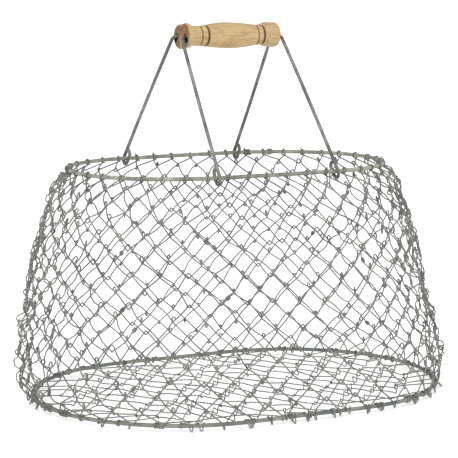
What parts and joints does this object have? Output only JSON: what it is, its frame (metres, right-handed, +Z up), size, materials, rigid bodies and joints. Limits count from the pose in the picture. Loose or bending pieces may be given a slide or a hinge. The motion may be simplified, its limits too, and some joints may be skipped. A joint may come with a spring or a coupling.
{
  "type": "egg collection basket",
  "caption": "Oval egg collection basket of looped wire netting on wire hoops, with wire bails that meet in a turned wooden grip.",
  "frame": {"origin": "middle of the footprint, on the surface that the base hoop stands on", "axes": "+X along the grip and the basket's length, +Y towards the back, +Z up"},
  "size_m": [0.4333, 0.3094, 0.3731],
  "materials": {
    "hoop_wire": "dull hot-dip galvanised, slightly mottled",
    "bail_wire": "dull galvanised",
    "net_wire": "galvanised, drawn wire",
    "grip_wood": "turned and sanded, unvarnished, with burnt grooves"
  },
  "bodies": {
    "basket": {"rim_hoop": "hoop_wire", "base_hoop": "hoop_wire", "wall_wire_01": "net_wire", "wall_wire_02": "net_wire", "wall_wire_03": "net_wire", "wall_wire_04": "net_wire", "wall_wire_05": "net_wire", "wall_wire_06": "net_wire", "wall_wire_07": "net_wire", "wall_wire_08": "net_wire", "wall_wire_09": "net_wire", "wall_wire_10": "net_wire", "wall_wire_11": "net_wire", "wall_wire_12": "net_wire", "wall_wire_13": "net_wire", "wall_wire_14": "net_wire", "wall_wire_15": "net_wire", "wall_wire_16": "net_wire", "wall_wire_17": "net_wire", "floor_wire_01": "net_wire", "floor_wire_02": "net_wire", "floor_wire_03": "net_wire", "floor_wire_04": "net_wire", "floor_wire_05": "net_wire", "floor_wire_06": "net_wire", "floor_wire_07": "net_wire", "floor_wire_08": "net_wire", "floor_wire_09": "net_wire", "floor_wire_10": "net_wire", "floor_wire_11": "net_wire", "floor_wire_12": "net_wire", "floor_wire_13": "net_wire", "floor_wire_14": "net_wire", "floor_wire_15": "net_wire", "floor_wire_16": "net_wire"},
    "grip": {"grip": "grip_wood"},
    "front_bail": {"front_bail": "bail_wire"},
    "back_bail": {"back_bail": "bail_wire"}
  },
  "joints": [
    {"name": "handle_lift", "type": "slide", "parent": "basket", "child": "grip", "axis": [0, 0, 1], "range_m": [-0.005, 0.0025]},
    {"name": "front_bail_turn", "type": "hinge", "parent": "grip", "child": "front_bail", "pos_m": [-0.011, -0.009, 0.3603], "axis": [1, 0, 0], "range_deg": [-1.1, 0.55]},
    {"name": "back_bail_turn", "type": "hinge", "parent": "grip", "child": "back_bail", "pos_m": [-0.011, 0.009, 0.3603], "axis": [-1, 0, 0], "range_deg": [-1.1, 0.55]}
  ],
  "couplings": [
    {"joint": "front_bail_turn", "follows": "handle_lift", "rad_per_m": 3.82},
    {"joint": "back_bail_turn", "follows": "handle_lift", "rad_per_m": 3.82}
  ]
}
